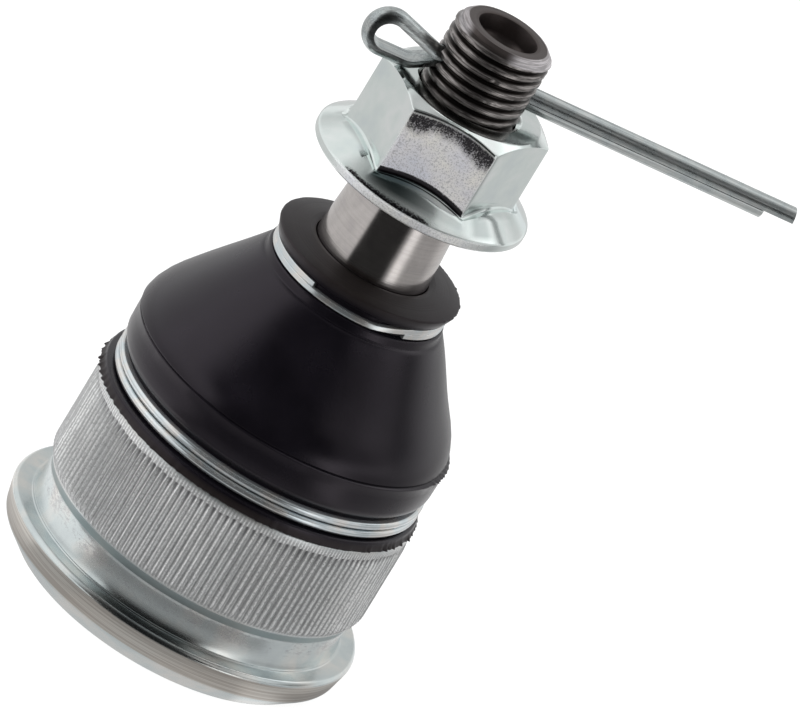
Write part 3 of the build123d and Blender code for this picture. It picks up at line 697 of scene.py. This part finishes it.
def makeNut(material):
    s = nutShape
    top = s["foot"] + s["height"]
    slope, drop = math.tan(math.radians(s["coneAngle"])), math.tan(math.radians(s["chamferAngle"]))
    corner, coneStart = s["flats"] / math.cos(math.radians(30)), s["flange"] - 0.25
    rimTop = s["foot"] + s["rim"]

    nominalTop = top - (corner - s["chamfer"]) * drop

    def coneHeight(radius):
        return rimTop + (coneStart - radius) * slope

    corners = [
        (s["bore"], s["foot"] + s["boreChamfer"], 0), (s["bore"] + s["boreChamfer"], s["foot"], 0),
        (s["flange"] - 0.35, s["foot"], 0.1), (s["flange"], s["foot"] + 0.3, 0.12),
        (s["flange"], rimTop - 0.25, 0.1), (coneStart, rimTop, 0.1),
        (corner + 0.75, coneHeight(corner + 0.75), 0), (corner + 0.25, coneHeight(corner + 0.5), 0.1),
        (corner, coneHeight(corner) - 0.1, 0.12), (corner, nominalTop, 0.12), (s["chamfer"], top, 0.12),
        (s["bore"] + s["boreChamfer"], top, 0), (s["bore"], top - s["boreChamfer"], 0),
    ]

    def spacing(radius, height):
        if abs(radius - corner) < 0.3:
            return 0.5
        return 0.6 if radius > s["bore"] + 1 and height > rimTop else 2.0

    def flatRadius(angle):
        turned = (math.degrees(angle) - s["turned"]) % 60 - 30
        sharp = s["flats"] / math.cos(math.radians(turned))
        soft = s["cornerSoft"]
        return -soft * math.log(math.exp(-sharp / soft) + math.exp(-s["cornerLimit"] / soft))

    bm = bmesh.new()
    wireProfile(bm, corners, spacing)
    turn(bm, s["steps"])
    sheared, dark, shaded = (bm.verts.layers.float.new(name) for name in ("sheared", "dark", "shaded"))
    nominalFoot = coneHeight(corner)
    frontFace = round((frontAzimuth - s["turned"] - 30) / 60) * 60 + s["turned"] + 30
    for vert in bm.verts:
        radius, angle, height = polar(vert)
        off = offFront(angle)
        if radius > coneStart - 0.7:
            # painted shade: a dark stripe along the foot of the cone, at the top of the rim, on the front
            rimCreaseShade = smooth(-42, -30, off) * smooth(24, 8, off)
            rimCreaseShade *= smooth(rimTop - 0.12, rimTop - 0.02, height)
            vert[dark] = 0.9 * rimCreaseShade * smooth(coneStart - 0.65, coneStart - 0.3, radius)
            grey = smooth(-50, -30, off) * smooth(60, 30, off)
            vert[sheared] = 0.75 * grey * smooth(rimTop, rimTop - 0.2, height)
        if radius < s["chamfer"] + 0.01 or height < rimTop - 0.2:
            continue
        flat = flatRadius(angle)
        # degrees from the middle of the front flat
        along = (math.degrees(angle) - frontFace + 180) % 360 - 180
        front = smooth(31, 29, abs(along))
        if radius > corner + 0.02:  # cone
            share = (coneStart - radius) / (coneStart - corner)
            moved = coneStart - share * (coneStart - flat) if share > 0 else radius
            lifted = height - coneHeight(radius) + coneHeight(moved) if share > 0 else height
            groove = smooth(1.0, 0.25, moved - flat)
            # painted shade in the crease of the cone at the foot of the front flat
            vert[dark] = max(vert[dark], front * smooth(0.3, 0.16, moved - flat) * 1.3)
            # painted shade and reflection: the cone in front of the front flat is coloured dark teal, with
            # a dark streak further to its right
            if moved < coneStart - 0.3:
                ahead = front * (1 - 0.8 * smooth(-16, 20, along))
                ahead *= smooth(coneStart - 0.7, coneStart - 1.7, moved)
                vert[shaded] = max(ahead, 0.5 * smooth(33, 40, along) * smooth(56, 46, along))
            place(vert, moved, angle, lifted - groove * (s["footGroove"] - 0.1 * front))
        elif height < nominalTop - 0.13:  # flats
            share = clamp((height - nominalFoot) / (nominalTop - nominalFoot))
            foot, high = coneHeight(flat), top - (flat - s["chamfer"]) * drop
            lifted = foot + share * (high - foot)
            vert[sheared] = front
            shear = high - s["shearFrom"] + 0.6 * wobble(along * 0.12, 3.0)
            shear -= 0.7 * smooth(6, 24, abs(along))
            # painted shadow along the foot of the front flat; the darker band near its top is the shear
            # zone
            shadow = smooth(s["footShadow"], s["footShadow"] - 0.12, lifted - foot)
            vert[dark] = front * (0.8 * smooth(shear - 2.6, shear + 1.3, lifted) + 1.3 * shadow)
            sunk = s["shearDepth"] * front * smooth(shear - 0.4, shear + 0.4, lifted)
            place(vert, flat - sunk, angle, lifted)
        else:  # chamfer
            share = clamp((radius - s["chamfer"]) / (corner - s["chamfer"]))
            moved = s["chamfer"] + share * (flat - s["chamfer"])
            nominal = top - (radius - s["chamfer"]) * drop
            place(vert, moved, angle, top - (moved - s["chamfer"]) * drop + (height - nominal))
    return newPiece(bm, "flangeNut", material, "nut", ["stud_nut"], sharp=32)


# Cotter pin: half-round wire doubled on itself, with an eye like a drop

pinShape = {
    "height": 85.93, "wire": 1.55, "segments": 40, "slit": 0.05, "longLeg": 45.7, "shortLeg": 41.5,
    "sag": 0.5, "partAt": -7.2, "eyeEnd": -15.8, "rise": 3.0, "drop": 1.65, "shoulder": 2.6, "bend": 1.9,
    "runStep": 3.0, "arcSteps": 28,
}


def sweep(bm, geometry, steps, shift, axis=(0, 0, 1), centre=(0, 0, 0), angle=0.0):
    # edges go along a line or round an arc, and what is returned is their copy at its end
    return bmesh.ops.spin(bm, geom=geometry, cent=Vector(centre) * mm, axis=axis, angle=angle, steps=steps,
                          dvec=Vector(shift) * mm)["geom_last"]


def makePin(material):
    s = pinShape
    # half a disc, flat side inwards, at the tip of the upper leg
    bm = bmesh.new()
    bmesh.ops.create_circle(bm, cap_ends=True, segments=s["segments"], radius=s["wire"] * mm)
    bmesh.ops.bisect_plane(bm, geom=bm.verts[:] + bm.edges[:] + bm.faces[:], dist=0.001 * mm,
                           plane_co=(0, 0, 0), plane_no=(1, 0, 0), clear_inner=True)
    bmesh.ops.delete(bm, geom=bm.faces[:], context="FACES_ONLY")
    bmesh.ops.rotate(bm, verts=bm.verts[:], matrix=Matrix.Rotation(-math.pi / 2, 3, "Y"))
    shortSag = s["sag"] * s["shortLeg"] / s["longLeg"]
    corners = [
        (s["longLeg"], s["slit"] - s["sag"], 0), (s["partAt"], s["slit"], s["bend"]),
        (s["eyeEnd"], s["rise"], None), (s["eyeEnd"], -s["drop"], None),
        (s["partAt"] - s["shoulder"], -s["drop"], s["bend"]), (s["partAt"], -s["slit"], s["bend"]),
        (s["shortLeg"], -s["slit"] - shortSag, 0),
    ]
    points = [Vector((x, 0, s["height"] + z)) for x, z, _ in corners]
    upperTurn = math.pi / 2 + math.atan2(s["rise"] - s["slit"], s["partAt"] - s["eyeEnd"])
    # both ends of the eye share one radius, as large as its height lets it be
    eyeRound = 0.98 * (s["rise"] + s["drop"]) / (1 + math.tan(upperTurn / 2))
    rounds = [eyeRound if r is None else r for _, _, r in corners]
    bmesh.ops.translate(bm, verts=bm.verts[:], vec=points[0] * mm)
    geometry = bm.verts[:] + bm.edges[:]
    at = points[0]
    for k in range(1, len(points)):
        run = (points[k] - points[k - 1]).normalized()
        onward = (points[k + 1] - points[k]).normalized() if rounds[k] else run
        angle = run.angle(onward)
        tangent = rounds[k] * math.tan(angle / 2)
        stop = points[k] - run * tangent
        steps = math.ceil((stop - at).length / s["runStep"])
        geometry = sweep(bm, geometry, steps, (stop - at) / steps)
        at = stop
        if rounds[k]:
            axis = run.cross(onward).normalized()
            steps = max(4, round(s["arcSteps"] * angle / math.pi))
            centre = stop + axis.cross(run) * rounds[k]
            geometry = sweep(bm, geometry, steps, (0, 0, 0), axis, centre, angle)
            at = points[k] + onward * tangent
    bmesh.ops.holes_fill(bm, edges=[e for e in bm.edges if e.is_boundary])
    return newPiece(bm, "splitPin", material, "pin", ["cotter_pin"], sharp=40)


# Camera, floor and light

camera = {"azimuth": viewAzimuth, "elevation": 23.0, "roll": 31.4, "distance": 2581.8, "aimRight": 9.517,
          "aimUp": 47.076, "focal": 20093.0, "imageWidth": 800, "sensor": 36.0}


def placeCamera():
    s = camera
    azimuth, elevation, roll = (math.radians(s[name]) for name in ("azimuth", "elevation", "roll"))
    across = Vector((math.cos(azimuth), math.sin(azimuth), 0))
    away = Vector((-math.sin(azimuth), math.cos(azimuth), 0))
    upright = Vector((0, 0, 1))
    lifted = upright * math.cos(elevation) + away * math.sin(elevation)
    right = across * math.cos(roll) + lifted * math.sin(roll)
    forward = away * math.cos(elevation) - upright * math.sin(elevation)
    turned = Matrix((right, right.cross(forward), -forward)).transposed().to_4x4()
    turned.translation = (across * s["aimRight"] + upright * s["aimUp"] - forward * s["distance"]) * mm
    shot = bpy.data.objects.new("camera", bpy.data.cameras.new("camera"))
    bpy.context.collection.objects.link(shot)
    shot.matrix_world = turned
    shot.data.sensor_width = s["sensor"]
    shot.data.lens = s["focal"] / s["imageWidth"] * s["sensor"]
    shot.data.clip_end = 100
    bpy.context.scene.camera = shot


floorShape = {"size": 6.0, "glow": 0.88, "colour": 0.3, "lit": 0.64, "nearLit": 0.36, "dark": 0.03,
              "under": (27.0, 30.0), "underDark": 0.42, "near": (55.0, 110.0), "nearFront": 0.4,
              "neckFrom": (36.0, 42.0), "neckTo": (46.0, 54.0), "neckFront": 0.25}
light = {"walls": 0.88, "dark": 0.01, "left": -36.0, "right": 31.0, "softRight": 15.0, "behind": 0.62,
         "overhead": 0.1, "overheadRight": 0.24, "panel": 0.6, "strip": 0.45, "beyondStrip": 0.42,
         "asideDark": 0.7, "highDark": 0.45}


def bearingAngle(x, y):
    # degrees round from the front, to the right
    facing, across = math.radians(frontAzimuth), math.radians(viewAzimuth)
    towards = x * math.cos(facing) + y * math.sin(facing)
    side = x * math.cos(across) + y * math.sin(across)
    return side.maths("ARCTAN2", towards) * math.degrees(1), towards, side


def sideStrip(around, level):
    # a narrow bright strip to the right of the front, with a darker stretch beyond it
    strip = between(around, 38, 46) * between(around, 52, 64, 1, 0) * light["strip"]
    beyond = between(around, 56, 70) * between(around, 100, 135, 1, 0) * light["beyondStrip"]
    return (level + strip) * (1.0 - beyond)


def makeFloor():
    s = floorShape
    bm = bmesh.new()
    bmesh.ops.create_grid(bm, x_segments=1, y_segments=1, size=s["size"])
    mesh = bpy.data.meshes.new("floor")
    bm.to_mesh(mesh)
    bm.free()
    floor = bpy.data.objects.new("floor", mesh)
    bpy.context.collection.objects.link(floor)
    material, shader, at = newMaterial("pale floor", Roughness=1.0, Specular_IOR_Level=0.0)
    x, y, _ = parts(at)
    around = bearingAngle(x, y)[0]
    reach = fromAxis(x, y)
    near, under = betweenMm(reach, *s["near"], 1, 0), betweenMm(reach, *s["under"], 1, 0)
    neckSees = betweenMm(reach, *s["neckFrom"]) * betweenMm(reach, *s["neckTo"], 1, 0)
    # what stands in front of the joint stays dark in its metal, less so close to its foot
    left, right = light["left"] - near * 22 + neckSees * 14, light["right"] + near * 24
    front = between(around, left - 1.5, left + 1.5)
    front = front * between(around, right, right + light["softRight"], 1, 0)
    front = front * (1.0 - under) * (1.0 - near * (s["nearFront"] - neckSees * s["neckFront"]))
    start = Shade(material.node_tree)
    seen, mirrored = (start.node("LightPath", out=f"Is {kind} Ray") for kind in ("Camera", "Glossy"))
    grey = (1.0 - mirrored) * s["colour"]
    dress(shader, Base_Color=joined(grey, grey, grey), Emission_Color=(1.0, 1.0, 1.0))
    lit = sideStrip(around, near * s["nearLit"] + s["lit"]) * (1.0 - under * s["underDark"])
    glow = seen * s["glow"] + mirrored * (lit * (1.0 - front) + s["dark"])
    wire(material.node_tree, shader.inputs["Emission Strength"], glow)
    mesh.materials.append(material)


def lightWorld():
    s = light
    world = bpy.data.worlds.new("studio")
    bpy.context.scene.world = world
    world.use_nodes = True
    tree = world.node_tree
    start = Shade(tree)
    x, y, z = parts(start.node("TexCoord", out="Generated"))
    around, towards, side = bearingAngle(x, y)
    # the dark front of the room, between its lit left and right walls
    left = s["left"] - between(z, 0.15, 0.6) * 34
    front = between(around, left - 1.5, left + between(z, 0.15, 0.6) * 25 + 1.5)
    right = s["right"] + between(z, 0.22, 0.34) * between(z, 0.44, 0.6, 45, 26)
    front = front * between(around, right, right + s["softRight"] + between(z, 0.5, 0.66) * 15, 1, 0)
    behind = (between(around, 135, 155) + between(around, -155, -135, 1, 0)) * between(z, 0.1, 0.28)
    level = sideStrip(around, s["walls"]) * (1.0 - front) + s["dark"]
    level = level * (1.0 - behind * (1 - s["behind"] / s["walls"]))
    aside = between(around, 54, 64) * between(around, 108, 130, 1, 0) * between(z, 0.25, 0.33)
    level = level * (1.0 - aside * between(z, 0.43, 0.52, s["asideDark"], 0))
    level = level * (1.0 - between(z, 0.76, 0.88) * s["highDark"])
    # the ceiling is dim, but for a panel that hangs behind the joint
    panel = between(towards, -0.2, -0.08, 1, 0)
    overhead = between(side, -0.25, 0.3, s["overhead"], s["overheadRight"])
    overhead = overhead * (1.0 - panel) + panel * s["panel"]
    sides = between(z, 0.86, 0.94, 1, 0)
    level = level * sides + overhead * (1.0 - sides)
    seen = start.node("LightPath", out="Is Camera Ray")
    background = tree.nodes["Background"]
    wire(tree, background.inputs["Color"], blendColour(seen, (0.985, 1.0, 1.0), (1.0, 1.0, 1.0)))
    wire(tree, background.inputs["Strength"], level * (1.0 - seen) + seen)


lamps = [
    # name, degrees round from the front, elevation, distance m, size m, watts, seen in mirrors
    ("left box", -80.0, 30.0, 1.2, 0.9, 0.3, True),
    ("right box", 75.0, 28.0, 1.2, 0.9, 0.8, True),
    ("high box", 150.0, 60.0, 1.2, 0.9, 1.2, True),
    ("front spot", 47.0, 47.0, 1.2, 0.3, 0.12, True),
    ("front fill", -5.0, 32.0, 1.2, 0.9, 9.0, False),
    ("left fill", -82.0, 15.0, 1.2, 0.9, 7.0, False),
]
lampAim = 45.0  # height on the joint's axis that the lamps point at


def hangLamps():
    for name, azimuth, elevation, distance, size, watts, mirrored in lamps:
        lamp = bpy.data.objects.new(name, bpy.data.lights.new(name, "AREA"))
        bpy.context.collection.objects.link(lamp)
        lamp.data.energy, lamp.data.size = watts, size
        lamp.visible_glossy = mirrored
        around, up = math.radians(frontAzimuth + azimuth), math.radians(elevation)
        towards = Vector((math.cos(around) * math.cos(up), math.sin(around) * math.cos(up), math.sin(up)))
        lamp.location = Vector((0, 0, lampAim * mm)) + towards * distance
        lamp.rotation_euler = towards.to_track_quat("Z", "Y").to_euler()


placeCamera()
makeFloor()
lightWorld()
hangLamps()
print("camera, floor and light set")

hiddenFinishes = {
    "cover_plate": plainZinc(),
    "preload_spring": springSteel(),
    "lower_bearing": bearingPlastic(),
    "upper_bearing": bearingPlastic(),
}
for node, material in hiddenFinishes.items():
    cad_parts[node].data.materials.clear()
    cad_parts[node].data.materials.append(material)
print("hidden pieces finished:", ", ".join(sorted(hiddenFinishes)))

wireFinish, studFinish = ringWire(), studSteel()
makeHousing(housingZinc())
makeBoot(bootRubber())
makeRing(lowerRing, "footRing", wireFinish, "housing", "lower_boot_ring")
makeRing(upperRing, "lipRing", wireFinish, "collar", "upper_boot_ring")
drillPinHole([makeStud(studFinish), makeThread(studFinish)])
makeNut(nutZinc())
makePin(pinZinc())

bpy.context.scene.view_settings.view_transform = "Standard"
